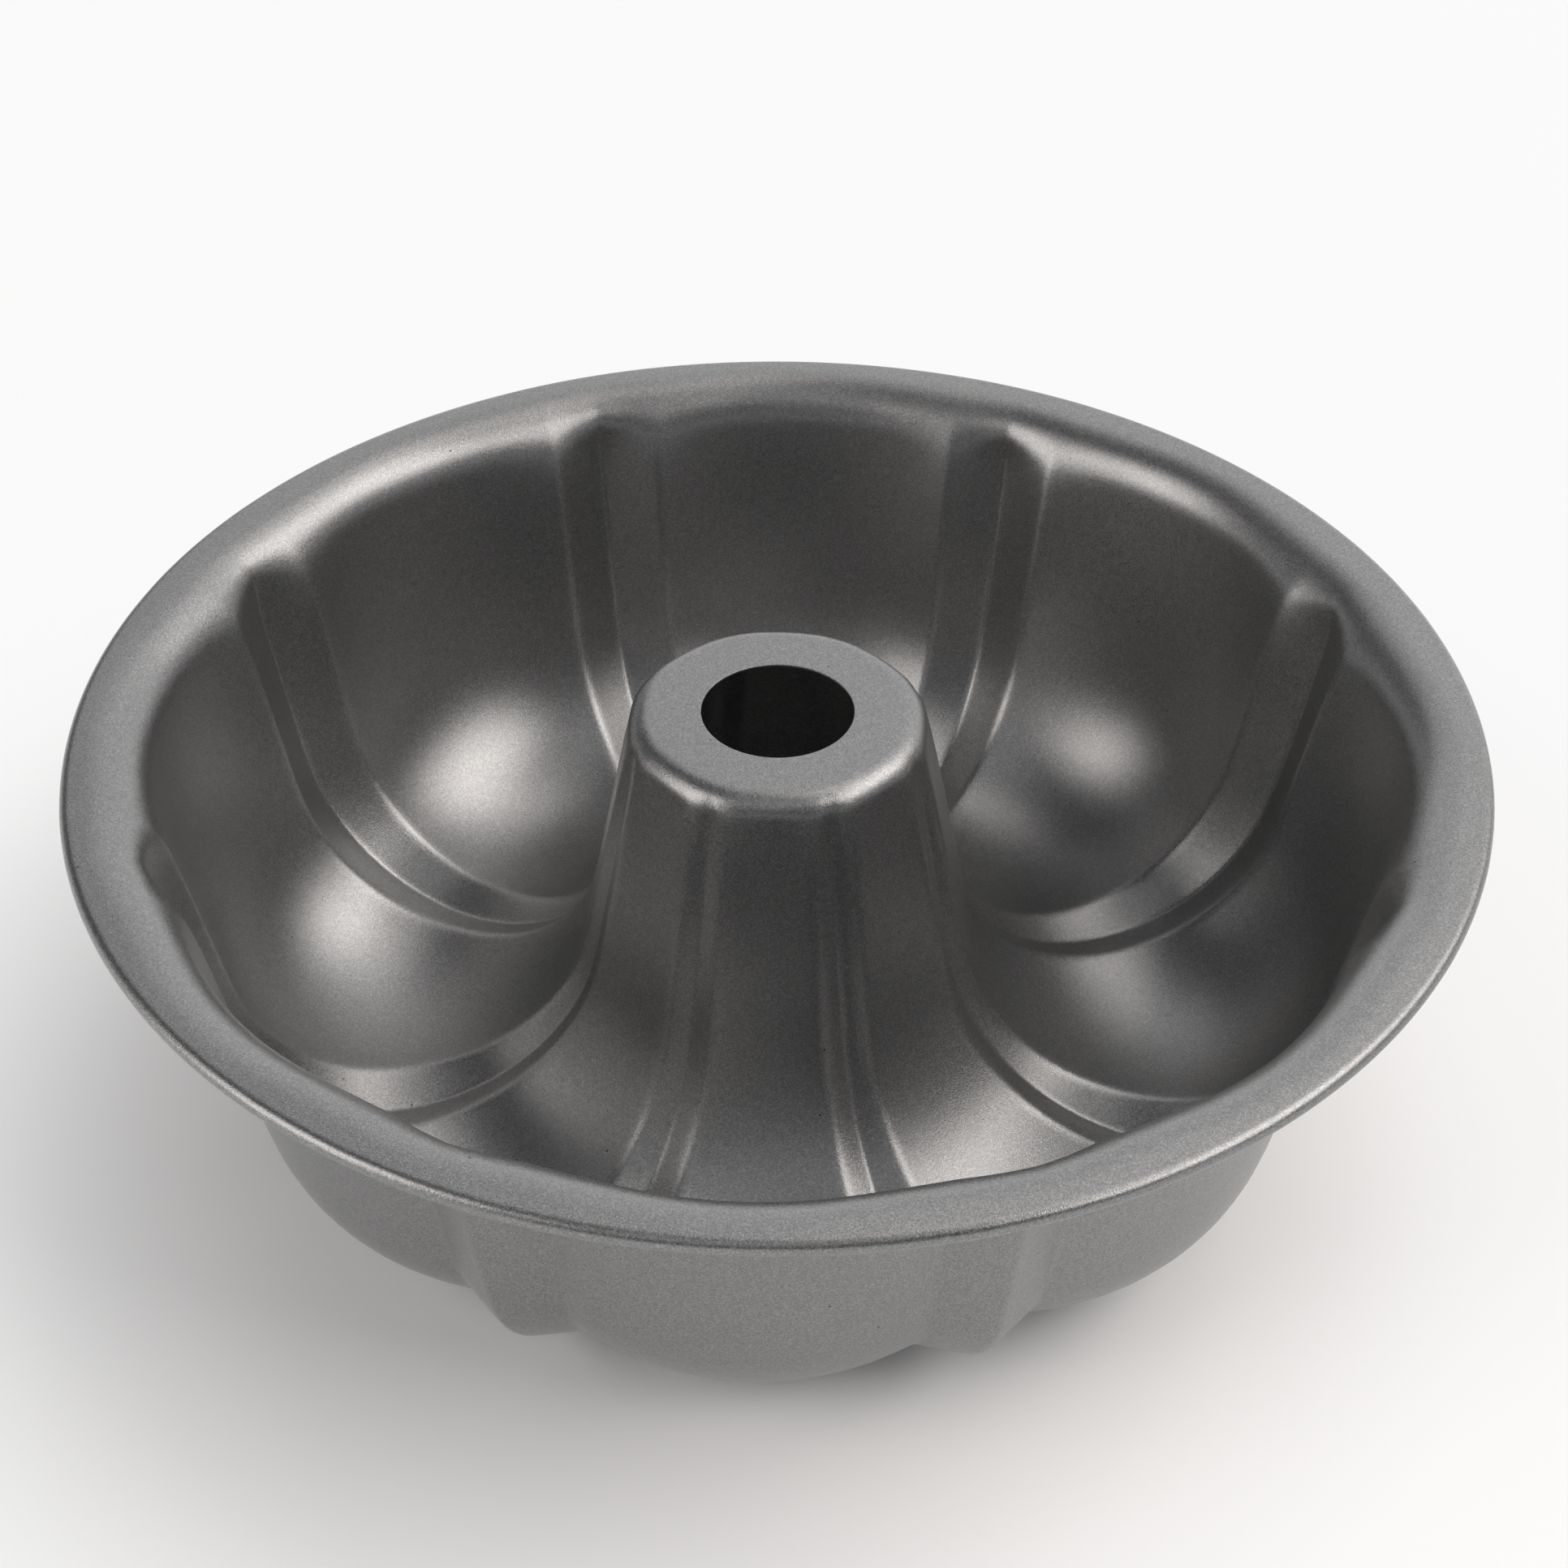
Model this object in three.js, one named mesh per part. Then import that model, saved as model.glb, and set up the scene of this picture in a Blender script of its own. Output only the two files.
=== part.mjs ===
// Fluted ring baking pan: a pressed sheet shell with a centre tube, its edge rolled around a wire.
// Millimetres, +Z up. The pan stands on z = 0 with its axis on Z.
import * as THREE from 'three';
import { ParametricGeometry } from 'three/addons/geometries/ParametricGeometry.js';
import { mergeVertices } from 'three/addons/utils/BufferGeometryUtils.js';

// Overall sizes
const rimDiameter = 260;
const panHeight = 80;
const sheetThickness = 0.5;

// Rolled rim and its wire
const beadDiameter = 3.2;
const beadTurn = THREE.MathUtils.degToRad(270);
const wireClearance = 0.3;

// Flange and outer wall
const mouthRadius = 119.5;
const mouthRounding = 10;
const wallDraft = THREE.MathUtils.degToRad(11);

// Centre tube
const tubeDiameter = 53.8;
const tubeDraft = THREE.MathUtils.degToRad(11.4);
const tubeTopDrop = 0.5;
const tubeRounding = 4.5;
const holeDiameter = 28.4;

// Lobes and grooves: width, rise and set-in are measured at the mouth; a groove narrows towards the axis,
// where it would still have its axis width
const grooveCount = 8;
const grooveWidth = 24;
const grooveAxisWidth = 1.5;
const crestRise = 5.1;
const lobeSetIn = 2;

// Run-outs: between two depths below the flange, and below the tube's top, the flutes soften, each point
// of the ring going over to the average of a reach to both sides
const mouthRunOutStart = 12.5;
const mouthRunOutEnd = 2.5;
const mouthReach = 22;
const tubeRunOutStart = 9;
const tubeRunOutEnd = 0.5;
const tubeReach = 10.5;

// Facets
const lobeSteps = 8;
const floorSteps = 10;
const filletSteps = 3;
const beadSteps = 8;
const reachSteps = 6;
const wireSides = 8;

// Finish
const coatColour = 0x7f7d7c;
const wireColour = 0xa9a7a2;

// Sizes that follow from the ones above
const rimRadius = rimDiameter / 2;
const beadRadius = beadDiameter / 2;
const beadCentreRadius = rimRadius - beadRadius;
const beadCentreHeight = panHeight - beadRadius;
const wireRadius = beadRadius - sheetThickness - wireClearance;
const holeRadius = holeDiameter / 2;
const tubeRadius = tubeDiameter / 2;
const tubeTopHeight = panHeight - tubeTopDrop;

// The floor is one arc that touches the groove's wall line, its tube line and the floor's lowest level
const wallSlope = Math.tan(wallDraft);
const tubeSlope = Math.tan(tubeDraft);
const floorWidth = mouthRadius - tubeRadius
  - (panHeight - sheetThickness) * wallSlope
  - (tubeTopHeight - sheetThickness) * tubeSlope;
const floorRadius = floorWidth
  / (1 / Math.cos(wallDraft) + 1 / Math.cos(tubeDraft) - wallSlope - tubeSlope);
const floorCentreHeight = sheetThickness + floorRadius;
const floorCentreRadius = mouthRadius
  - (panHeight - floorCentreHeight) * wallSlope
  - floorRadius / Math.cos(wallDraft);
const floorStart = -Math.PI + tubeDraft;
const floorEnd = -wallDraft;

// Columns of points around the axis: each groove's valley, then steps across the lobe from crest to crest
const pitch = 2 * Math.PI / grooveCount;
const columns = [];
for (let groove = 0; groove < grooveCount; groove += 1) {
  const valley = (groove + 0.5) * pitch;
  columns.push({ valley, inValley: true, acrossLobe: 0 });
  for (let step = 0; step <= lobeSteps; step += 1) {
    columns.push({ valley, inValley: false, acrossLobe: step / lobeSteps });
  }
}

// Turn from a groove's valley to its crest, at a radius
function grooveHalf(radius) {
  return (grooveAxisWidth + (grooveWidth - grooveAxisWidth) * radius / mouthRadius) / 2 / radius;
}

// Turn of a column from its groove's valley, at a radius
function columnTurn(column, radius) {
  if (column.inValley) {
    return 0;
  }
  const half = grooveHalf(radius);
  return half + (pitch - 2 * half) * column.acrossLobe;
}

// How far the sheet stands into the cavity from the groove's own section, at a turn from a valley
function fluteOffset(turn, radius, mouthShare) {
  const fromValley = Math.abs(turn - pitch * Math.round(turn / pitch));
  const half = grooveHalf(radius);
  const crest = crestRise * radius / mouthRadius;
  if (fromValley < half) {
    return crest * fromValley / half;
  }
  const rise = ((pitch / 2 - fromValley) / (pitch / 2 - half)) ** 2;
  return rise * crest + (1 - rise) * lobeSetIn * mouthShare;
}

// How much that changes where it is averaged over a reach to both sides
function softChange(turn, radius, mouthShare, reach) {
  let total = 0;
  let weights = 0;
  for (let step = -reachSteps; step <= reachSteps; step += 1) {
    const weight = reachSteps + 1 - Math.abs(step);
    const aside = reach / radius * step / (reachSteps + 1);
    total += weight * fluteOffset(turn + aside, radius, mouthShare);
    weights += weight;
  }
  return total / weights - fluteOffset(turn, radius, mouthShare);
}

// A point of the sheet's upper face, with the direction to its lower face
function sheetPoint(radius, height, downRadius, downHeight) {
  return { radius, height, downRadius, downHeight };
}

// Rounding between a flat ring and a sloping side: the side, carried on, would meet the ring's plane
// at cornerRadius; outward is 1 where the side lies outside the ring
function rounding(cornerRadius, radius, height, draft, outward) {
  const turn = Math.PI / 2 - draft;
  const flatRadius = cornerRadius - outward * radius * Math.tan(turn / 2);
  const points = [];
  for (let step = 0; step <= filletSteps; step += 1) {
    const angle = turn * step / filletSteps;
    points.push(sheetPoint(
      flatRadius + outward * radius * Math.sin(angle),
      height - radius * (1 - Math.cos(angle)),
      -outward * Math.sin(angle),
      -Math.cos(angle),
    ));
  }
  return points;
}

// A side's points with the start of its run-out, moved by a change that grows to the whole at its end
function runOut(foot, points, startHeight, endHeight, change) {
  const end = points[points.length - 1];
  const share = (startHeight - foot.height) / (end.height - foot.height);
  const start = sheetPoint(
    THREE.MathUtils.lerp(foot.radius, end.radius, share),
    startHeight,
    end.downRadius,
    end.downHeight,
  );
  return [...points, start].map((point) => sheetPoint(
    point.radius + change * THREE.MathUtils.smoothstep(point.height, startHeight, endHeight),
    point.height,
    point.downRadius,
    point.downHeight,
  ));
}

// The sheet's upper face from the hole's edge to the end of the rolled rim, in one column
function sheetPath(column) {
  const floor = [];
  for (let step = 0; step <= floorSteps; step += 1) {
    const turn = floorStart + (floorEnd - floorStart) * step / floorSteps;
    const radius = floorCentreRadius + floorRadius * Math.cos(turn);
    const height = floorCentreHeight + floorRadius * Math.sin(turn);
    const offset = fluteOffset(columnTurn(column, radius), radius, 0);
    floor.push(sheetPoint(
      radius - offset * Math.cos(turn),
      height - offset * Math.sin(turn),
      Math.cos(turn),
      Math.sin(turn),
    ));
  }

  const tubeFoot = floor[0];
  const tubeTurn = columnTurn(column, tubeRadius);
  const tubeCorner = tubeRadius + fluteOffset(tubeTurn, tubeRadius, 0) / Math.cos(tubeDraft);
  const tubeLean = Math.atan((tubeFoot.radius - tubeCorner) / (tubeTopHeight - tubeFoot.height));
  const tubeRound = rounding(tubeCorner, tubeRounding, tubeTopHeight, tubeLean, 1);
  const tubeChange = softChange(tubeTurn, tubeRadius, 0, tubeReach);
  const tubeTop = runOut(
    tubeFoot,
    tubeRound,
    tubeTopHeight - tubeRunOutStart,
    tubeTopHeight - tubeRunOutEnd,
    tubeChange,
  );

  const wallFoot = floor[floorSteps];
  const wallTurn = columnTurn(column, mouthRadius);
  const wallCorner = mouthRadius - fluteOffset(wallTurn, mouthRadius, 1) / Math.cos(wallDraft);
  const wallLean = Math.atan((wallCorner - wallFoot.radius) / (panHeight - wallFoot.height));
  const wallRound = rounding(wallCorner, mouthRounding, panHeight, wallLean, -1);
  const wallChange = -softChange(wallTurn, mouthRadius, 1, mouthReach);
  const mouth = runOut(
    wallFoot,
    wallRound,
    panHeight - mouthRunOutStart,
    panHeight - mouthRunOutEnd,
    wallChange,
  ).reverse();

  const bead = [];
  for (let step = 0; step <= beadSteps; step += 1) {
    const turn = beadTurn * step / beadSteps;
    bead.push(sheetPoint(
      beadCentreRadius + beadRadius * Math.sin(turn),
      beadCentreHeight + beadRadius * Math.cos(turn),
      -Math.sin(turn),
      -Math.cos(turn),
    ));
  }

  const holeEdge = sheetPoint(holeRadius, tubeTopHeight, 0, -1);
  return [holeEdge, ...tubeTop, ...floor, ...mouth, ...bead];
}

// Closed section of the sheet: its lower face out, its upper face back
function shellSection(column) {
  const path = sheetPath(column);
  const upper = path.map((point) => new THREE.Vector2(point.radius, point.height));
  const lower = path.map((point) => new THREE.Vector2(
    point.radius + sheetThickness * point.downRadius,
    point.height + sheetThickness * point.downHeight,
  ));
  return [...lower, ...upper.reverse()];
}

// Closed section of the wire, going round the same way as the sheet's
function wireSection() {
  const points = [];
  for (let side = 0; side < wireSides; side += 1) {
    const turn = 2 * Math.PI * side / wireSides;
    points.push(new THREE.Vector2(
      beadCentreRadius + wireRadius * Math.cos(turn),
      beadCentreHeight + wireRadius * Math.sin(turn),
    ));
  }
  return points;
}

// A ring that carries a closed section around the axis, through every column of points
function ringGeometry(sectionAt) {
  const sections = columns.map(sectionAt);
  const columnCount = columns.length;
  const pointCount = sections[0].length;
  const place = (around, along, target) => {
    const number = Math.round(around * columnCount) % columnCount;
    const point = sections[number][Math.round(along * pointCount) % pointCount];
    const column = columns[number];
    const angle = column.valley + columnTurn(column, point.x);
    target.set(point.x * Math.cos(angle), point.x * Math.sin(angle), point.y);
  };
  const geometry = new ParametricGeometry(place, columnCount, pointCount);
  geometry.deleteAttribute('normal');
  geometry.deleteAttribute('uv');
  return mergeVertices(geometry);
}

function namedMesh(name, geometry, material) {
  const mesh = new THREE.Mesh(geometry, material);
  mesh.name = name;
  return mesh;
}

const coat = new THREE.MeshStandardMaterial({ color: coatColour, roughness: 0.42, metalness: 0.85 });
const bareWire = new THREE.MeshStandardMaterial({ color: wireColour, roughness: 0.35, metalness: 1 });

const pan = new THREE.Group();
pan.add(namedMesh('pan_shell', ringGeometry(shellSection), coat));
pan.add(namedMesh('rim_wire', ringGeometry(wireSection), bareWire));

export default pan;
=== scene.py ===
"""Fluted ring baking pan: a pressed and coated steel sheet whose edge is rolled around a wire."""
import math

import bmesh
import bpy
from bpy.props import FloatProperty, FloatVectorProperty, IntProperty, PointerProperty
from mathutils import Matrix, Vector


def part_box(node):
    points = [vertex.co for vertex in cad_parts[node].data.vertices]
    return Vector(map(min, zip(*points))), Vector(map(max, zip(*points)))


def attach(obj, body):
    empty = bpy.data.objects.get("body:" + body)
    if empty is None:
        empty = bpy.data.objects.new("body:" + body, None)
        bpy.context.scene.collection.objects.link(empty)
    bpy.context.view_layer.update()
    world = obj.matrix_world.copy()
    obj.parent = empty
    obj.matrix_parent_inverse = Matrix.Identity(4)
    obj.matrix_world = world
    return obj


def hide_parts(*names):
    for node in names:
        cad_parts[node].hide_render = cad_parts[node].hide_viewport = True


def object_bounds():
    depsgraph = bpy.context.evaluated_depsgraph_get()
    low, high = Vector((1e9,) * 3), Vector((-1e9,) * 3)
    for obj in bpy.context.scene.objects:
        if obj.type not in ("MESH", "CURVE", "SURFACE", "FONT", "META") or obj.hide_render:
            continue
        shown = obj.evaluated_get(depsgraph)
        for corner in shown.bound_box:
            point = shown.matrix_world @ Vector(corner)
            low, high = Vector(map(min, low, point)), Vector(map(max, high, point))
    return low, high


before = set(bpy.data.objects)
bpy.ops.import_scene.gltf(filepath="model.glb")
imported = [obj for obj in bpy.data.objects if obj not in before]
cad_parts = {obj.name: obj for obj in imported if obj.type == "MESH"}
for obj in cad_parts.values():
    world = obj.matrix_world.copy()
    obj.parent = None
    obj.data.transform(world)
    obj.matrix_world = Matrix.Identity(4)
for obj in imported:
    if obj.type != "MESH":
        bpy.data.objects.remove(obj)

bl_info = {
    "name": "Fluted ring baking pan",
    "version": (1, 0, 0),
    "blender": (4, 5, 0),
    "location": "3D View > Sidebar > Baking Pan",
    "description": "Models a pressed ring pan with its wire, its metallic coat and a plain studio",
    "category": "Object",
}

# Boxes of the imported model, kept before any piece is added
CAD_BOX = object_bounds()
SHELL_LOW, SHELL_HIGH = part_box("pan_shell")
WIRE_LOW, WIRE_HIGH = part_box("rim_wire")

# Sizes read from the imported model; its faceted rim is a few hundredths of a millimetre short
RIM_RADIUS = round(SHELL_HIGH.x, 3)
PAN_HEIGHT = SHELL_HIGH.z - SHELL_LOW.z
WIRE_RADIUS = (WIRE_HIGH.z - WIRE_LOW.z) / 2
WIRE_CENTRE_RADIUS = WIRE_HIGH.x - WIRE_RADIUS
WIRE_CENTRE_HEIGHT = (WIRE_HIGH.z + WIRE_LOW.z) / 2
BEAD_RADIUS = PAN_HEIGHT - WIRE_CENTRE_HEIGHT

# Counts of cage lines across the sheet and along its section
FLANK_STEPS = 3
LOBE_STEPS = 6
FILLET_STEPS = 5
STRAIGHT_STEPS = 6
FLOOR_STEPS = 14
BEAD_STEPS = 12

# Samples to each side where the flutes are averaged
SOFT_STEPS = 6

# Counts for the skin's smoothing, its cut edges, the wire and the floor
SMOOTH_LEVELS = 1
EDGE_SEGMENTS = 2
WIRE_SIDES = 16
WIRE_STEPS = 192
STUDIO_FLOOR_SIDES = 128

# Share of a groove's flank that the roundings at its ends may take, and a support by the hole
SUPPORT_SHARE = 0.8
HOLE_SUPPORT = 0.0004

# Working values for the modelling tools
SEED_SIZE = 0.001
MERGE_DISTANCE = 2e-6
SMOOTH_ANGLE = math.radians(40)
SHEET_EDGE_ANGLE = math.radians(60)

# Textures run from 0 to 1 around a middle, with more or less fine detail
TEXTURE_MIDDLE = 0.5
GRAIN_DETAIL = 3.0
DULL_DETAIL = 4.0

# Between these distances from the pan's axis the floor goes over from its lit colour to plain white
SHADOW_RADIUS = 0.1
OPEN_FLOOR_RADIUS = 0.23

# In reflections the floor under the pan glows with this share of white, a painted glow in the pan's
# shadow, rising from none at the tube's foot to all of it at the pan's lowest ring, which keeps the
# underside from being lost in black
TUBE_FOOT_RADIUS = 0.045
LOW_RING_RADIUS = 0.06
UNDER_PAN_PAINTED_GLOW = 0.14

# Sines of the angles above the floor between which the horizon's colour fades
HORIZON_LOW = math.sin(math.radians(4))
HORIZON_HIGH = math.sin(math.radians(15))

# Colours of the lamps
WARM_WHITE = (1.0, 0.955, 0.925)
PLAIN_WHITE = (1.0, 1.0, 1.0)

# Soft lamps: name, azimuth and elevation in degrees, width, height, brightness and colour
LAMPS = (
    ("key_softbox", 0, 45, 2.6, 1.6, 3.9, WARM_WHITE),
    ("left_softbox", 205, 28, 1.5, 2.1, 3.25, WARM_WHITE),
    ("back_softbox", 77, 30, 3.6, 2.7, 0.9, PLAIN_WHITE),
    ("high_softbox", 54, 65, 1.4, 1.4, 1.55, WARM_WHITE),
    ("top_strip", 266, 62, 0.75, 2.6, 0.75, PLAIN_WHITE),
)

# How far every lamp stands from the point that it faces
LAMP_DISTANCE = 2.5
LAMP_TARGET = Vector((0, 0, 0.04))


def length(label, description, default):
    """A size in metres for a property group."""
    return FloatProperty(
        name=label, description=description, default=default, unit="LENGTH", precision=5
    )


def turn(label, description, degrees):
    """An angle for a property group, given in degrees."""
    return FloatProperty(
        name=label, description=description, default=math.radians(degrees), unit="ROTATION"
    )


def share(label, description, default):
    """A number from 0 to 1 for a property group."""
    return FloatProperty(
        name=label, description=description, default=default, min=0, max=1, subtype="FACTOR"
    )


def colour(label, description, default):
    """A linear colour for a property group."""
    return FloatVectorProperty(
        name=label, description=description, default=default, size=3, min=0, max=1, subtype="COLOR"
    )


class PanShellSizes(bpy.types.PropertyGroup):
    """Sizes of the pressed sheet."""

    rim_radius: length("Rim radius", "Radius over the rolled rim", RIM_RADIUS)
    pan_height: length("Height", "Height from the worktop to the flange", PAN_HEIGHT)
    sheet_thickness: length("Sheet", "Thickness of the coated sheet", 0.0005)
    bead_radius: length("Bead radius", "Outer radius of the rolled rim's section", BEAD_RADIUS)
    bead_turn: turn("Bead turn", "How far the sheet's edge is rolled round", 270)
    mouth_radius: length(
        "Mouth radius", "Radius of the groove's wall, carried up to the flange", 0.1195
    )
    mouth_rounding: length("Mouth rounding", "Radius between the wall and the flange", 0.01)
    wall_draft: turn("Wall draft", "Lean of the outer wall", 11)
    tube_radius: length("Tube radius", "Radius of the tube at its top, in the groove", 0.0269)
    tube_draft: turn("Tube draft", "Lean of the centre tube", 11.4)
    tube_top_drop: length("Tube top drop", "How far the tube's top lies below the flange", 0.0005)
    tube_rounding: length("Tube rounding", "Radius between the tube's side and its top", 0.0045)
    hole_radius: length("Hole radius", "Radius of the hole in the tube's top", 0.0142)
    groove_count: IntProperty(name="Grooves", description="Number of grooves", default=8, min=3)
    groove_width: length("Groove width", "Width between a groove's crests, at the mouth", 0.024)
    groove_axis_width: length("Axis width", "Width to which a groove narrows at the axis", 0.0015)
    crest_rise: length("Crest rise", "Height of a crest over the valley, at the mouth", 0.0051)
    lobe_set_in: length(
        "Lobe set-in", "How far a lobe's middle stands inside the groove's wall", 0.002
    )
    mouth_soft_start: length(
        "Mouth soft start", "Depth below the flange from which up the flutes soften", 0.0125
    )
    mouth_soft_end: length(
        "Mouth soft end", "Depth below the flange at which they are softest", 0.0025
    )
    mouth_reach: length("Mouth reach", "Reach of the softening along the flange", 0.022)
    tube_soft_start: length(
        "Tube soft start", "Depth below the tube's top from which up the flutes soften", 0.009
    )
    tube_soft_end: length(
        "Tube soft end", "Depth below the tube's top at which they are softest", 0.0005
    )
    tube_reach: length("Tube reach", "Reach of the softening around the tube's top", 0.0105)
    crest_rounding: length("Crest rounding", "Half width of a crest's rounding", 0.0017)
    valley_rounding: length("Valley rounding", "Half width of a valley's rounding", 0.001)
    edge_rounding: length("Edge rounding", "Rounding of the sheet's cut edges", 0.00012)


class RimWireSizes(bpy.types.PropertyGroup):
    """Sizes of the wire in the rolled rim."""

    wire_radius: length("Wire radius", "Radius of the wire's section", WIRE_RADIUS)
    ring_radius: length("Ring radius", "Radius of the wire's centre line", WIRE_CENTRE_RADIUS)
    ring_height: length("Ring height", "Height of the wire's centre line", WIRE_CENTRE_HEIGHT)


class CoatFinish(bpy.types.PropertyGroup):
    """Look of the metallic non-stick coat."""

    base: colour("Coat", "Colour of the coat", (0.2, 0.1995, 0.199))
    flake: colour("Flakes", "Colour of the brightest flakes", (0.355, 0.354, 0.353))
    roughness: share("Roughness", "Roughness of the coat", 0.31)
    metal: share("Metal share", "How much of the coat looks like metal, not matt paint", 0.87)
    flake_size: length("Flake size", "Width of one flake", 0.00018)
    flake_gloss: share("Flake gloss", "How much the roughness varies between flakes", 0.08)
    cloud_size: length("Cloud size", "Width of the coat's cloudy patches", 0.03)
    cloud_gloss: share("Cloud gloss", "How much the roughness varies between clouds", 0.06)
    grain_size: length("Grain size", "Width of one bump of the sprayed grain", 0.00025)
    grain_depth: length("Grain depth", "Depth of the sprayed grain", 0.00005)
    speck_spacing: length("Speck spacing", "Spacing of the tiny dark specks", 0.0105)
    speck_radius: share("Speck radius", "Radius of a speck, as a share of the spacing", 0.022)
    speck_cover: share("Speck cover", "How much of the coat's colour a speck hides", 0.85)
    speck: colour("Specks", "Colour of the specks", (0.01, 0.01, 0.01))


class WireFinish(bpy.types.PropertyGroup):
    """Look of the bare wire."""

    base: colour("Wire", "Colour of the drawn steel", (0.42, 0.41, 0.395))
    roughness: share("Roughness", "Roughness of the drawn steel", 0.34)
    dull_size: length("Patch size", "Width of the dull patches", 0.006)
    dull_tone: share("Patch tone", "Brightness of a dull patch, as a share of the wire's", 0.7)
    dull_gloss: share("Patch gloss", "How much the roughness varies between patches", 0.2)
    mark_size: length("Mark size", "Width of one die mark", 0.0002)
    mark_depth: length("Mark depth", "Depth of the die marks", 0.00001)


class StudioSetup(bpy.types.PropertyGroup):
    """Camera, floor and room."""

    camera_place: FloatVectorProperty(
        name="Camera", description="Place of the camera", default=(0.01858, -0.37781, 0.36586),
        size=3, subtype="XYZ", unit="LENGTH", precision=5,
    )
    camera_swing: turn("Swing", "Turn of the camera about the pan's axis", 2.629)
    camera_pitch: turn("Pitch", "How far the camera looks down", 38.779)
    camera_roll: turn("Roll", "Tilt of the camera about its own line of sight", 0.284)
    camera_lens: FloatProperty(
        name="Lens", description="Focal length in millimetres", default=58.83
    )
    floor_radius: length("Floor radius", "Radius of the pale floor", 20)
    floor: colour("Floor", "Colour of the floor", (0.95, 0.95, 0.95))
    floor_patch_size: length("Floor patches", "Width of the floor's faint patches", 0.4)
    floor_patch_tone: share(
        "Patch tone", "Brightness of a faint patch, as a share of the floor's", 0.985
    )
    floor_white: share(
        "Floor white", "How much of the open floor's look is plain white, not its lit colour", 0.92
    )
    horizon: colour("Horizon", "Colour of the room just above the floor", (0.8, 0.8, 0.8))
    room: colour("Room", "Colour of the room around the pan", (0.08, 0.085, 0.094))


class Shade:
    """A shader socket that Python's operators work on; each operator adds one Math node."""

    def __init__(self, builder, socket):
        self.builder = builder
        self.socket = socket

    def math(self, operation, first, second):
        """One Math node on two sockets or numbers."""
        return self.builder.node("ShaderNodeMath", {"operation": operation}, {0: first, 1: second})

    def __add__(self, other):
        return self.math("ADD", self, other)

    def __radd__(self, other):
        return self.math("ADD", other, self)

    def __sub__(self, other):
        return self.math("SUBTRACT", self, other)

    def __rsub__(self, other):
        return self.math("SUBTRACT", other, self)

    def __mul__(self, other):
        return self.math("MULTIPLY", self, other)

    def __lt__(self, other):
        return self.math("LESS_THAN", self, other)

    def __gt__(self, other):
        return self.math("GREATER_THAN", self, other)


class ShaderBuilder:
    """Adds and links the nodes of one material or world."""

    def __init__(self, owner):
        owner.use_nodes = True
        self.tree = owner.node_tree
        self.tree.nodes.clear()

    def node(self, kind, settings=None, sockets=None, output=None):
        """One node with its settings and its sockets' values or links; gives one output."""
        made = self.tree.nodes.new(kind)
        for key, value in (settings or {}).items():
            setattr(made, key, value)
        for key, value in (sockets or {}).items():
            self.fill(self.find(made.inputs, key), value)
        return Shade(self, self.find(made.outputs, output or 0)) if made.outputs else made

    def find(self, sockets, key):
        """The usable socket with that number or name."""
        usable = [socket for socket in sockets if socket.enabled]
        if isinstance(key, int):
            return usable[key]
        return next(socket for socket in usable if socket.name == key)

    def fill(self, socket, value):
        """Link another node's output, or set a plain value."""
        if isinstance(value, Shade):
            self.tree.links.new(value.socket, socket)
        elif socket.type == "RGBA":
            socket.default_value = (*value, 1.0)
        else:
            socket.default_value = value

    def mix_colour(self, factor, first, second):
        """Blend of two colours."""
        return self.node(
            "ShaderNodeMix", {"data_type": "RGBA"}, {"Factor": factor, "A": first, "B": second}
        )

    def noise(self, place, size, detail=2.0):
        """Soft noise whose patches are about that wide, from 0 to 1."""
        sockets = {"Vector": place, "Scale": 1 / size, "Detail": detail}
        return self.node("ShaderNodeTexNoise", None, sockets, "Fac")

    def cells(self, place, size, output):
        """Cells about that wide: each one's own colour, or the distance from its middle."""
        return self.node("ShaderNodeTexVoronoi", None, {"Vector": place, "Scale": 1 / size}, output)

    def bump(self, height, depth):
        """Normal of a surface with that much depth between the lowest and highest places."""
        sockets = {"Strength": 1.0, "Distance": depth, "Height": height}
        return self.node("ShaderNodeBump", None, sockets)

    def smooth_rise(self, value, start, end):
        """Rise from 0 to 1 while a value goes from start to end."""
        return self.node(
            "ShaderNodeMapRange", {"interpolation_type": "SMOOTHSTEP"},
            {"Value": value, "From Min": start, "From Max": end},
        )


def new_material(name):
    """An empty node material and its builder."""
    material = bpy.data.materials.new(name)
    return material, ShaderBuilder(material)


def coat_material(finish):
    """Satin metallic coat: fine flakes, a sprayed grain, cloudy gloss and a few tiny specks."""
    material, shader = new_material("metallic_nonstick_coat")
    place = shader.node("ShaderNodeTexCoord", output="Object")
    flakes = shader.cells(place, finish.flake_size, "Color")
    flake = shader.node("ShaderNodeSeparateColor", None, {"Color": flakes}, "Red")
    grain = shader.noise(place, finish.grain_size, GRAIN_DETAIL)
    cloud = shader.noise(place, finish.cloud_size)
    speck = shader.cells(place, finish.speck_spacing, "Distance") < finish.speck_radius

    coat = shader.mix_colour(flake * flake, tuple(finish.base), tuple(finish.flake))
    cloud_change = (cloud - TEXTURE_MIDDLE) * finish.cloud_gloss
    flake_change = (flake - TEXTURE_MIDDLE) * finish.flake_gloss
    surface = shader.node("ShaderNodeBsdfPrincipled", None, {
        "Base Color": shader.mix_colour(speck * finish.speck_cover, coat, tuple(finish.speck)),
        "Metallic": finish.metal,
        "Roughness": finish.roughness + cloud_change + flake_change,
        "Normal": shader.bump(grain, finish.grain_depth),
    })
    shader.node("ShaderNodeOutputMaterial", None, {"Surface": surface})
    return material


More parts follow.
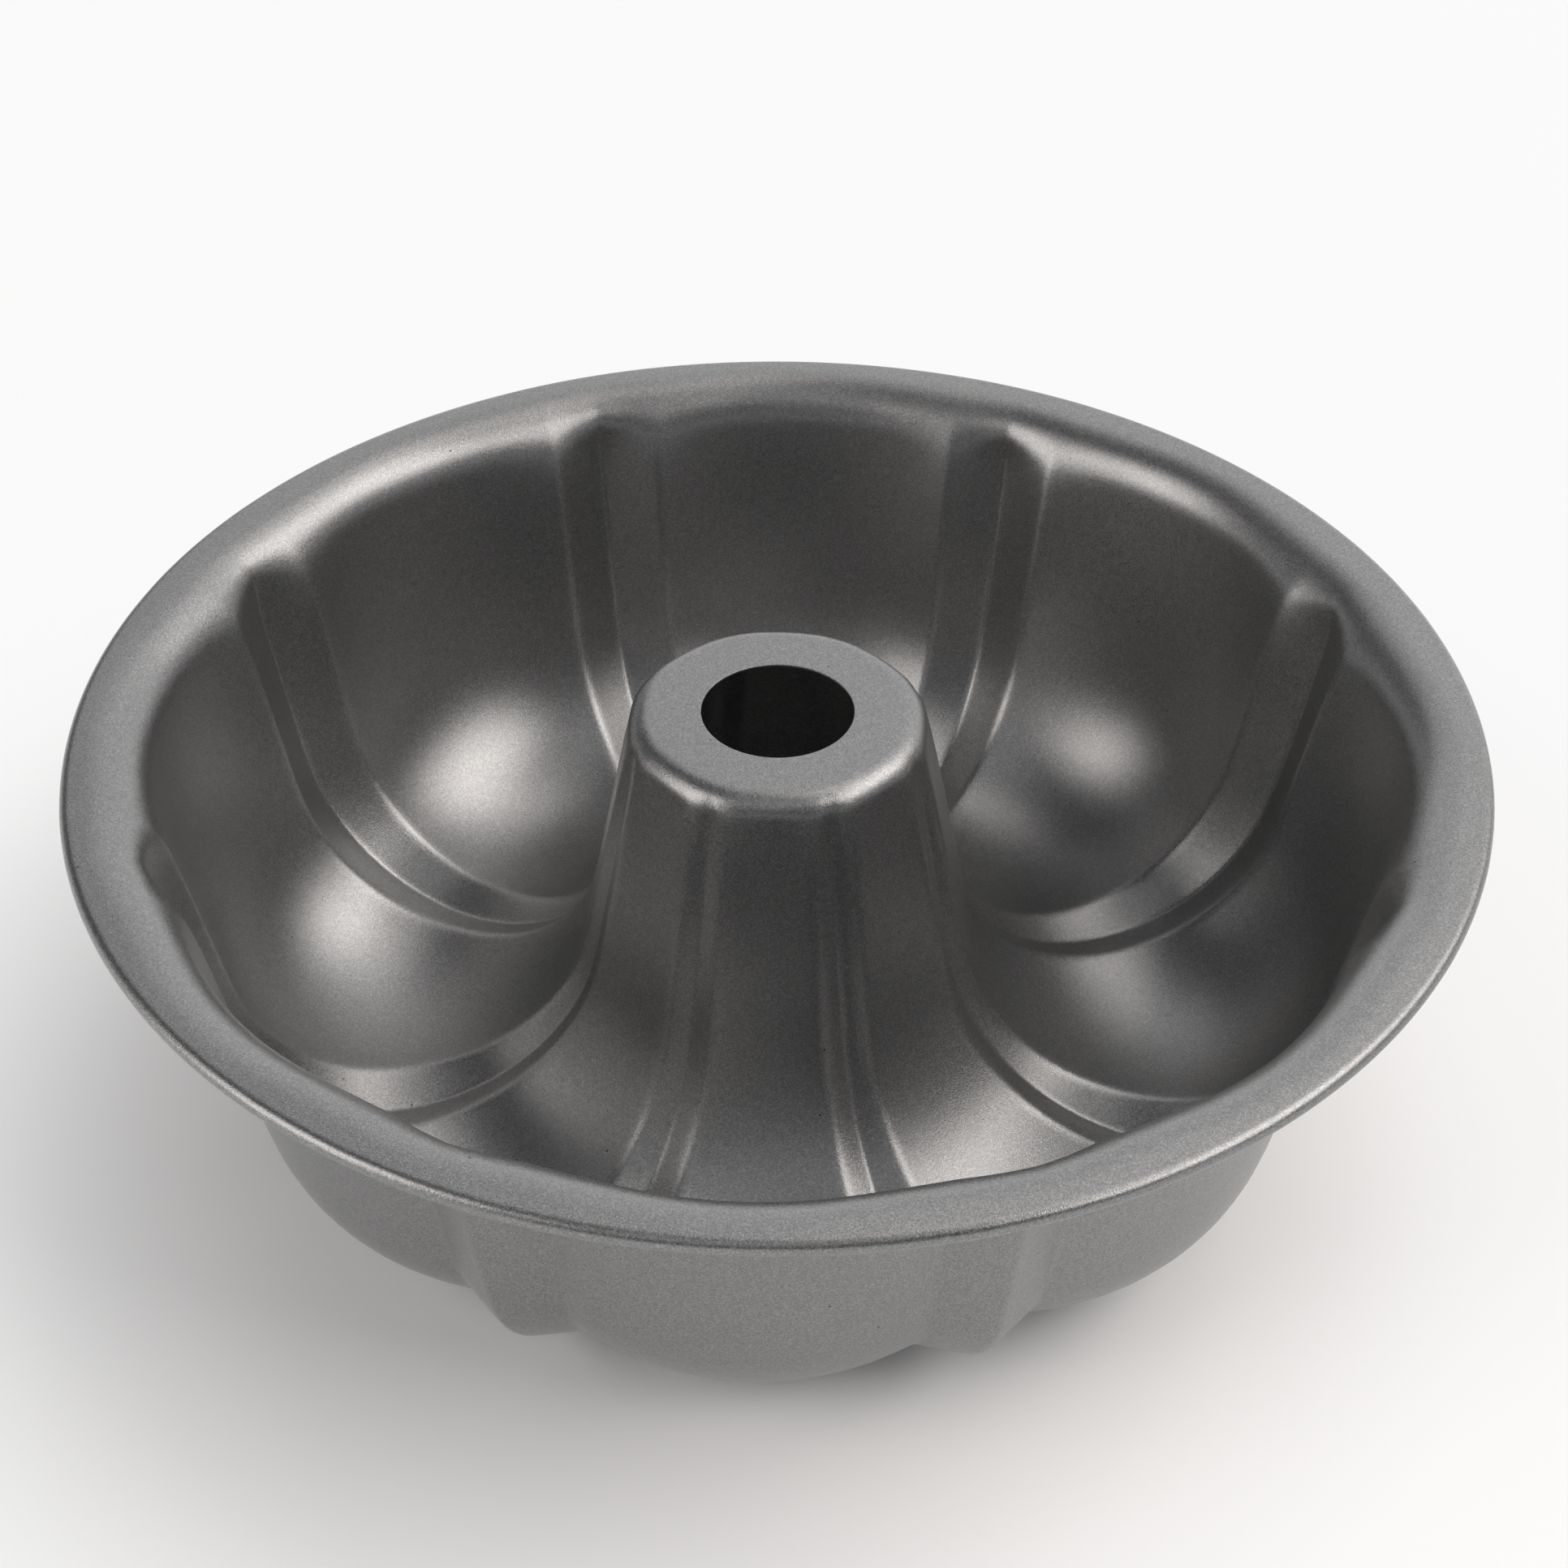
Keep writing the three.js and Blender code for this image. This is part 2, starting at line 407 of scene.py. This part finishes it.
def wire_material(finish):
    """Drawn steel wire: bare metal with fine die marks and dull patches."""
    material, shader = new_material("drawn_steel_wire")
    place = shader.node("ShaderNodeTexCoord", output="Object")
    dull = shader.noise(place, finish.dull_size, DULL_DETAIL)
    marks = shader.noise(place, finish.mark_size)
    dull_tone = tuple(finish.dull_tone * part for part in finish.base)
    surface = shader.node("ShaderNodeBsdfPrincipled", None, {
        "Base Color": shader.mix_colour(dull, dull_tone, tuple(finish.base)),
        "Metallic": 1.0,
        "Roughness": finish.roughness + (dull - TEXTURE_MIDDLE) * finish.dull_gloss,
        "Normal": shader.bump(marks, finish.mark_depth),
    })
    shader.node("ShaderNodeOutputMaterial", None, {"Surface": surface})
    return material


def floor_material(studio):
    """Pale matt floor, evened out to white where it is looked at, clear from below; in reflections
    the shade under the pan is painted over with a glow.
    """
    material, shader = new_material("pale_studio_floor")
    place = shader.node("ShaderNodeTexCoord", output="Object")
    patches = shader.noise(place, studio.floor_patch_size)
    patch_tone = tuple(studio.floor_patch_tone * part for part in studio.floor)
    tone = shader.mix_colour(patches, patch_tone, tuple(studio.floor))
    matt = shader.node("ShaderNodeBsdfDiffuse", None, {"Color": tone})
    camera, glossy, clear_ray = (
        shader.node("ShaderNodeLightPath", output=f"Is {ray} Ray")
        for ray in ("Camera", "Glossy", "Transmission")
    )
    looked_at = camera + glossy + clear_ray > 0
    away = shader.node("ShaderNodeVectorMath", {"operation": "LENGTH"}, {0: place}, "Value")
    under_pan = shader.smooth_rise(away, TUBE_FOOT_RADIUS, LOW_RING_RADIUS)
    open_floor = shader.smooth_rise(away, SHADOW_RADIUS, OPEN_FLOOR_RADIUS)
    white = shader.node(
        "ShaderNodeEmission", None, {"Color": tuple(studio.floor), "Strength": 1.0}
    )
    # Painted glow: the shaded floor under the pan gives off white light that only reflections see
    painted_underside_glow = glossy * under_pan * (1 - open_floor) * UNDER_PAN_PAINTED_GLOW
    whiteness = looked_at * open_floor * studio.floor_white + painted_underside_glow
    pale = shader.node("ShaderNodeMixShader", None, {0: whiteness, 1: matt, 2: white})
    clear = shader.node("ShaderNodeBsdfTransparent")
    below = shader.node("ShaderNodeNewGeometry", output="Backfacing")
    seen = shader.node("ShaderNodeMixShader", None, {0: below, 1: pale, 2: clear})
    shader.node("ShaderNodeOutputMaterial", None, {"Surface": seen})
    return material


class PanSection:
    """The sheet's section lines, as a cage for the smoothed skin.

    A round stretch's cage points lie where the arc's tangents meet, so that the skin lies on the
    arc. Each point is a radius, a height and a turn from the nearest groove's valley.
    """

    def __init__(self, sizes):
        self.sizes = sizes
        self.pitch = 2 * math.pi / sizes.groove_count
        self.mouth = sizes.mouth_radius
        self.tube_top = sizes.pan_height - sizes.tube_top_drop
        self.bead_radius_at = sizes.rim_radius - sizes.bead_radius
        self.bead_height_at = sizes.pan_height - sizes.bead_radius
        wall_slope = math.tan(sizes.wall_draft)
        tube_slope = math.tan(sizes.tube_draft)
        floor_width = (
            self.mouth - sizes.tube_radius
            - (sizes.pan_height - sizes.sheet_thickness) * wall_slope
            - (self.tube_top - sizes.sheet_thickness) * tube_slope
        )
        self.floor_radius = floor_width / (
            1 / math.cos(sizes.wall_draft) + 1 / math.cos(sizes.tube_draft)
            - wall_slope - tube_slope
        )
        self.floor_height_at = sizes.sheet_thickness + self.floor_radius
        self.floor_radius_at = (
            self.mouth
            - (sizes.pan_height - self.floor_height_at) * wall_slope
            - self.floor_radius / math.cos(sizes.wall_draft)
        )

    def groove_half(self, radius):
        """Turn from a groove's valley to its crest, at a radius."""
        axis_width = self.sizes.groove_axis_width
        width = axis_width + (self.sizes.groove_width - axis_width) * radius / self.mouth
        return width / 2 / radius

    def turns(self, radius):
        """Turns from the valley to every cage line across half a pitch, at a radius."""
        crest = self.groove_half(radius)
        valley_support = self.sizes.valley_rounding / radius
        crest_support = self.sizes.crest_rounding / radius
        squeeze = min(1, SUPPORT_SHARE * crest / (valley_support + crest_support))
        flank_start = valley_support * squeeze
        flank_end = crest - crest_support * squeeze
        lobe_start = crest + crest_support * squeeze
        flank_width = flank_end - flank_start
        flank = [flank_start + flank_width * step / FLANK_STEPS for step in range(FLANK_STEPS + 1)]
        lobe_width = self.pitch / 2 - lobe_start
        lobe = [lobe_start + lobe_width * step / LOBE_STEPS for step in range(LOBE_STEPS + 1)]
        return [0, *flank, crest, *lobe]

    def offset(self, turn_from_valley, radius, mouth_share):
        """How far the sheet stands into the cavity from the groove's own section."""
        crest = self.groove_half(radius)
        if turn_from_valley < crest:
            rise = turn_from_valley / crest
            set_in = 0
        else:
            rise = ((self.pitch / 2 - turn_from_valley) / (self.pitch / 2 - crest)) ** 2
            set_in = 1 - rise
        crest_part = rise * self.sizes.crest_rise * radius / self.mouth
        return crest_part + set_in * self.sizes.lobe_set_in * mouth_share

    def soft_change(self, line_turn, radius, mouth_share, reach):
        """How much the offset changes where it is averaged along the ring, to both sides."""
        total = 0
        weights = 0
        for step in range(-SOFT_STEPS, SOFT_STEPS + 1):
            weight = SOFT_STEPS + 1 - abs(step)
            at = abs(line_turn + reach / radius * step / (SOFT_STEPS + 1))
            total += weight * self.offset(min(at, self.pitch - at), radius, mouth_share)
            weights += weight
        return total / weights - self.offset(line_turn, radius, mouth_share)

    def run_out(self, points, start, end, change):
        """Move a side's points by a change that grows smoothly between two heights."""
        moved = []
        for radius, height, line_turn in points:
            at = min(max((height - start) / (end - start), 0), 1)
            moved.append((radius + change * at * at * (3 - 2 * at), height, line_turn))
        return moved

    def floor_point(self, line, angle, stretch=1):
        """A point of the floor's arc on one cage line; stretch moves it out to the cage."""
        radius = self.floor_radius_at + self.floor_radius * math.cos(angle)
        line_turn = self.turns(radius)[line]
        reach = self.floor_radius * stretch - self.offset(line_turn, radius, 0)
        return (
            self.floor_radius_at + reach * math.cos(angle),
            self.floor_height_at + reach * math.sin(angle),
            line_turn,
        )

    def fillet(self, corner_radius, radius, height, lean, outward, line_turn):
        """Cage of the rounding from a flat ring into a leaning side, with a support at each end."""
        angle = math.pi / 2 - lean
        flat_radius = corner_radius - outward * radius * math.tan(angle / 2)
        step = angle / FILLET_STEPS
        support = radius * math.tan(step / 2)
        cage_radius = radius / math.cos(step / 2)
        points = [(flat_radius - outward * support, height, line_turn)]
        for number in range(FILLET_STEPS):
            at = (number + 0.5) * step
            points.append((
                flat_radius + outward * cage_radius * math.sin(at),
                height - radius + cage_radius * math.cos(at),
                line_turn,
            ))
        points.append((
            flat_radius + outward * (radius * math.sin(angle) + support * math.sin(lean)),
            height - radius + radius * math.cos(angle) - support * math.cos(lean),
            line_turn,
        ))
        return points

    def straight(self, start, end):
        """Points between two ends, without them."""
        steps = [step / STRAIGHT_STEPS for step in range(1, STRAIGHT_STEPS)]
        return [tuple(a + (b - a) * at for a, b in zip(start, end)) for at in steps]

    def tube_side(self, line):
        """Top rounding and side of the tube on one cage line, down to its foot."""
        sizes = self.sizes
        foot = self.floor_point(line, -math.pi + sizes.tube_draft)
        line_turn = self.turns(sizes.tube_radius)[line]
        offset = self.offset(line_turn, sizes.tube_radius, 0)
        corner = sizes.tube_radius + offset / math.cos(sizes.tube_draft)
        lean = math.atan((foot[0] - corner) / (self.tube_top - foot[1]))
        top = self.fillet(corner, sizes.tube_rounding, self.tube_top, lean, 1, line_turn)
        change = self.soft_change(line_turn, sizes.tube_radius, 0, sizes.tube_reach)
        start = self.tube_top - sizes.tube_soft_start
        end = self.tube_top - sizes.tube_soft_end
        return self.run_out([*top, *self.straight(top[-1], foot)], start, end, change)

    def wall_side(self, line):
        """Outer wall on one cage line, from its foot up to the flange."""
        sizes = self.sizes
        foot = self.floor_point(line, -sizes.wall_draft)
        line_turn = self.turns(self.mouth)[line]
        offset = self.offset(line_turn, self.mouth, 1)
        corner = self.mouth - offset / math.cos(sizes.wall_draft)
        lean = math.atan((corner - foot[0]) / (sizes.pan_height - foot[1]))
        mouth = self.fillet(corner, sizes.mouth_rounding, sizes.pan_height, lean, -1, line_turn)
        change = -self.soft_change(line_turn, self.mouth, 1, sizes.mouth_reach)
        start = sizes.pan_height - sizes.mouth_soft_start
        end = sizes.pan_height - sizes.mouth_soft_end
        side = [*self.straight(foot, mouth[-1]), *reversed(mouth)]
        return self.run_out(side, start, end, change)

    def floor(self, line):
        """Rounded floor on one cage line."""
        start = -math.pi + self.sizes.tube_draft
        step = (-self.sizes.wall_draft - start) / FLOOR_STEPS
        stretch = 1 / math.cos(step / 2)
        angles = [start + (number + 0.5) * step for number in range(FLOOR_STEPS)]
        return [self.floor_point(line, angle, stretch) for angle in angles]

    def bead(self, line_turn):
        """Rolled rim, with a support on the flange before it and its cut edge at the end."""
        sizes = self.sizes
        step = sizes.bead_turn / BEAD_STEPS
        cage_radius = sizes.bead_radius / math.cos(step / 2)
        support = sizes.bead_radius * math.tan(step / 2)
        points = [(self.bead_radius_at - support, sizes.pan_height, line_turn)]
        angles = [((number + 0.5) * step, cage_radius) for number in range(BEAD_STEPS)]
        for angle, radius in [*angles, (sizes.bead_turn, sizes.bead_radius)]:
            points.append((
                self.bead_radius_at + radius * math.sin(angle),
                self.bead_height_at + radius * math.cos(angle),
                line_turn,
            ))
        return points

    def line(self, line):
        """One whole cage line from the hole's edge to the rolled rim's end, as points in space."""
        sizes = self.sizes
        tube_turn = self.turns(sizes.tube_radius)[line]
        mouth_turn = self.turns(self.mouth)[line]
        tube = self.tube_side(line)
        wall = self.wall_side(line)
        bead = self.bead(mouth_turn)
        hole = [(sizes.hole_radius + step, self.tube_top, tube_turn) for step in (0, HOLE_SUPPORT)]
        land = tuple((a + b) / 2 for a, b in zip(hole[-1], tube[0]))
        flange = tuple((a + b) / 2 for a, b in zip(wall[-1], bead[0]))
        points = [*hole, land, *tube, *self.floor(line), *wall, flange, *bead]
        return [self.place(*point) for point in points]

    def place(self, radius, height, turn_from_valley):
        """Point in space; the middle of a lobe lies on +X."""
        around = self.pitch / 2 - turn_from_valley
        return Vector((radius * math.cos(around), radius * math.sin(around), height))


def new_piece(name):
    """An empty mesh object at the origin, left in edit mode."""
    bpy.ops.object.select_all(action="DESELECT")
    bpy.ops.mesh.primitive_plane_add(size=SEED_SIZE, location=(0, 0, 0))
    piece = bpy.context.object
    piece.name = name
    piece.data.name = name
    bpy.ops.object.mode_set(mode="EDIT")
    bpy.ops.mesh.select_all(action="SELECT")
    bpy.ops.mesh.delete(type="VERT")
    return piece


def draw_line(points):
    """Draw a line of edges: one vertex at the first point, extruded from point to point."""
    bpy.ops.mesh.select_all(action="DESELECT")
    bpy.ops.mesh.primitive_plane_add(size=SEED_SIZE, location=points[0])
    bpy.ops.mesh.merge(type="CENTER")
    for start, end in zip(points, points[1:]):
        bpy.ops.mesh.extrude_region_move(TRANSFORM_OT_translate={"value": end - start})


def select_run(piece, first, count):
    """Select a run of vertices, in the order of drawing, with the edges between them."""
    bpy.ops.mesh.select_all(action="DESELECT")
    mesh = bmesh.from_edit_mesh(piece.data)
    mesh.verts.ensure_lookup_table()
    for vertex in mesh.verts[first:first + count]:
        vertex.select_set(True)
    mesh.select_flush(True)
    bmesh.update_edit_mesh(piece.data)


def clean_skin():
    """Merge what meets and turn every face to the same side."""
    bpy.ops.mesh.select_all(action="SELECT")
    bpy.ops.mesh.remove_doubles(threshold=MERGE_DISTANCE)
    bpy.ops.mesh.normals_make_consistent(inside=False)


def apply_modifier(piece, name, kind, **settings):
    """Add a modifier with its settings and apply it."""
    modifier = piece.modifiers.new(name, kind)
    for key, value in settings.items():
        setattr(modifier, key, value)
    bpy.ops.object.modifier_apply(modifier=name)


def finish_piece(piece, material, node):
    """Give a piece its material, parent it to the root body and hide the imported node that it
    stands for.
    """
    bpy.ops.object.shade_smooth_by_angle(angle=SMOOTH_ANGLE)
    piece.data.materials.append(material)
    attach(piece, "root")
    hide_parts(node)


class PAN_OT_pressed_shell(bpy.types.Operator):
    """Model the pressed sheet: section lines over half a pitch, skinned, mirrored and turned"""

    bl_idname = "pan.pressed_shell"
    bl_label = "Pressed shell"

    def execute(self, context):
        sizes = context.scene.pan_shell
        section = PanSection(sizes)
        piece = new_piece("pressed_shell")

        lines = [section.line(line) for line in range(len(section.turns(section.mouth)))]
        point_count = len(lines[0])
        for points in lines:
            draw_line(points)
        for line in range(len(lines) - 1):
            select_run(piece, line * point_count, 2 * point_count)
            bpy.ops.mesh.bridge_edge_loops()

        bpy.ops.mesh.select_all(action="SELECT")
        bpy.ops.mesh.duplicate_move()
        bpy.ops.transform.resize(value=(1, -1, 1), center_override=(0, 0, 0))
        bpy.ops.mesh.select_all(action="SELECT")
        for _ in range(sizes.groove_count - 1):
            bpy.ops.mesh.duplicate_move()
            bpy.ops.transform.rotate(
                value=section.pitch, orient_axis="Z", center_override=(0, 0, 0)
            )
        clean_skin()
        self.turn_upper_face_up(piece, section)
        bpy.ops.object.mode_set(mode="OBJECT")

        apply_modifier(
            piece, "smooth_skin", "SUBSURF", levels=SMOOTH_LEVELS, render_levels=SMOOTH_LEVELS
        )
        apply_modifier(
            piece, "sheet", "SOLIDIFY", thickness=sizes.sheet_thickness, offset=-1,
            use_even_offset=True, use_quality_normals=True,
        )
        apply_modifier(
            piece, "cut_edges", "BEVEL", width=sizes.edge_rounding, segments=EDGE_SEGMENTS,
            limit_method="ANGLE", angle_limit=SHEET_EDGE_ANGLE,
        )
        finish_piece(piece, coat_material(context.scene.pan_coat), "pan_shell")
        return {"FINISHED"}

    def turn_upper_face_up(self, piece, section):
        """The sheet grows thick below its upper face, so the flange's faces have to look up."""
        mesh = bmesh.from_edit_mesh(piece.data)
        flange = [
            face for face in mesh.faces
            if section.mouth < face.calc_center_median().xy.length < section.bead_radius_at
            and abs(face.calc_center_median().z - section.sizes.pan_height) < MERGE_DISTANCE
        ]
        if not flange:
            raise RuntimeError("the pressed shell has no flange")
        if flange[0].normal.z < 0:
            bpy.ops.mesh.flip_normals()


class PAN_OT_rim_wire(bpy.types.Operator):
    """Model the wire in the rolled rim: a round section spun about the pan's axis"""

    bl_idname = "pan.rim_wire"
    bl_label = "Rim wire"

    def execute(self, context):
        sizes = context.scene.pan_wire
        piece = new_piece("rolled_in_wire")
        bpy.ops.mesh.primitive_circle_add(
            vertices=WIRE_SIDES, radius=sizes.wire_radius,
            location=(sizes.ring_radius, 0, sizes.ring_height), rotation=(math.pi / 2, 0, 0),
        )
        bpy.ops.mesh.spin(steps=WIRE_STEPS, angle=2 * math.pi, center=(0, 0, 0), axis=(0, 0, 1))
        clean_skin()
        bpy.ops.object.mode_set(mode="OBJECT")
        finish_piece(piece, wire_material(context.scene.pan_wire_finish), "rim_wire")
        return {"FINISHED"}


def add_lamp(name, azimuth, elevation, width, height, brightness, lamp_colour):
    """A rectangular soft lamp that faces the pan; brightness is the radiance of its face."""
    around = math.radians(azimuth)
    up = math.radians(elevation)
    away = Vector((math.cos(around) * math.cos(up), math.sin(around) * math.cos(up), math.sin(up)))
    bpy.ops.object.light_add(type="AREA", location=LAMP_TARGET + LAMP_DISTANCE * away)
    lamp = bpy.context.object
    lamp.name = name
    lamp.rotation_euler = away.to_track_quat("Z", "Y").to_euler()
    lamp.data.shape = "RECTANGLE"
    lamp.data.size = width
    lamp.data.size_y = height
    lamp.data.energy = brightness * math.pi * width * height
    lamp.data.color = lamp_colour
    lamp.visible_camera = False


def studio_room(studio):
    """Grey room that is pale just above the floor."""
    world = bpy.data.worlds.new("studio_room")
    shader = ShaderBuilder(world)
    direction = shader.node("ShaderNodeTexCoord", output="Generated")
    height = shader.node("ShaderNodeSeparateXYZ", None, {"Vector": direction}, "Z")
    rise = shader.smooth_rise(height, HORIZON_LOW, HORIZON_HIGH)
    tone = shader.mix_colour(rise, tuple(studio.horizon), tuple(studio.room))
    background = shader.node("ShaderNodeBackground", None, {"Color": tone, "Strength": 1.0})
    shader.node("ShaderNodeOutputWorld", None, {"Surface": background})
    return world


class PAN_OT_studio(bpy.types.Operator):
    """Set up the floor, the soft lamps, the room's light and the camera"""

    bl_idname = "pan.studio"
    bl_label = "Studio"

    def execute(self, context):
        studio = context.scene.pan_studio
        bpy.ops.object.select_all(action="DESELECT")
        bpy.ops.mesh.primitive_circle_add(
            vertices=STUDIO_FLOOR_SIDES, radius=studio.floor_radius, fill_type="NGON",
            location=(0, 0, CAD_BOX[0].z),
        )
        floor = context.object
        floor.name = "studio_floor"
        floor.data.materials.append(floor_material(studio))

        for lamp in LAMPS:
            add_lamp(*lamp)

        context.scene.world = studio_room(studio)
        bpy.ops.object.camera_add()
        camera = context.object
        camera.name = "photo_camera"
        camera.data.lens = studio.camera_lens
        aim = (
            Matrix.Rotation(studio.camera_swing, 4, "Z")
            @ Matrix.Rotation(math.pi / 2 - studio.camera_pitch, 4, "X")
            @ Matrix.Rotation(studio.camera_roll, 4, "Z")
        )
        camera.matrix_world = Matrix.Translation(studio.camera_place) @ aim
        context.scene.camera = camera
        context.scene.view_settings.view_transform = "Standard"
        return {"FINISHED"}


PROPERTY_GROUPS = {
    "pan_shell": PanShellSizes,
    "pan_wire": RimWireSizes,
    "pan_coat": CoatFinish,
    "pan_wire_finish": WireFinish,
    "pan_studio": StudioSetup,
}
OPERATORS = (PAN_OT_pressed_shell, PAN_OT_rim_wire, PAN_OT_studio)


class PAN_PT_sidebar(bpy.types.Panel):
    """Operators and sizes of the baking pan"""

    bl_idname = "PAN_PT_sidebar"
    bl_label = "Baking Pan"
    bl_space_type = "VIEW_3D"
    bl_region_type = "UI"
    bl_category = "Baking Pan"

    def draw(self, context):
        for operator in OPERATORS:
            self.layout.operator(operator.bl_idname)
        for group_name, group in PROPERTY_GROUPS.items():
            box = self.layout.box()
            for property_name in group.__annotations__:
                box.prop(getattr(context.scene, group_name), property_name)


def register():
    for group_name, group in PROPERTY_GROUPS.items():
        bpy.utils.register_class(group)
        setattr(bpy.types.Scene, group_name, PointerProperty(type=group))
    for operator in OPERATORS:
        bpy.utils.register_class(operator)
    bpy.utils.register_class(PAN_PT_sidebar)


def unregister():
    bpy.utils.unregister_class(PAN_PT_sidebar)
    for operator in reversed(OPERATORS):
        bpy.utils.unregister_class(operator)
    for group_name, group in reversed(PROPERTY_GROUPS.items()):
        delattr(bpy.types.Scene, group_name)
        bpy.utils.unregister_class(group)


def main():
    register()
    for operator in OPERATORS:
        group, name = operator.bl_idname.split(".")
        getattr(getattr(bpy.ops, group), name)()


if __name__ == "__main__":
    main()
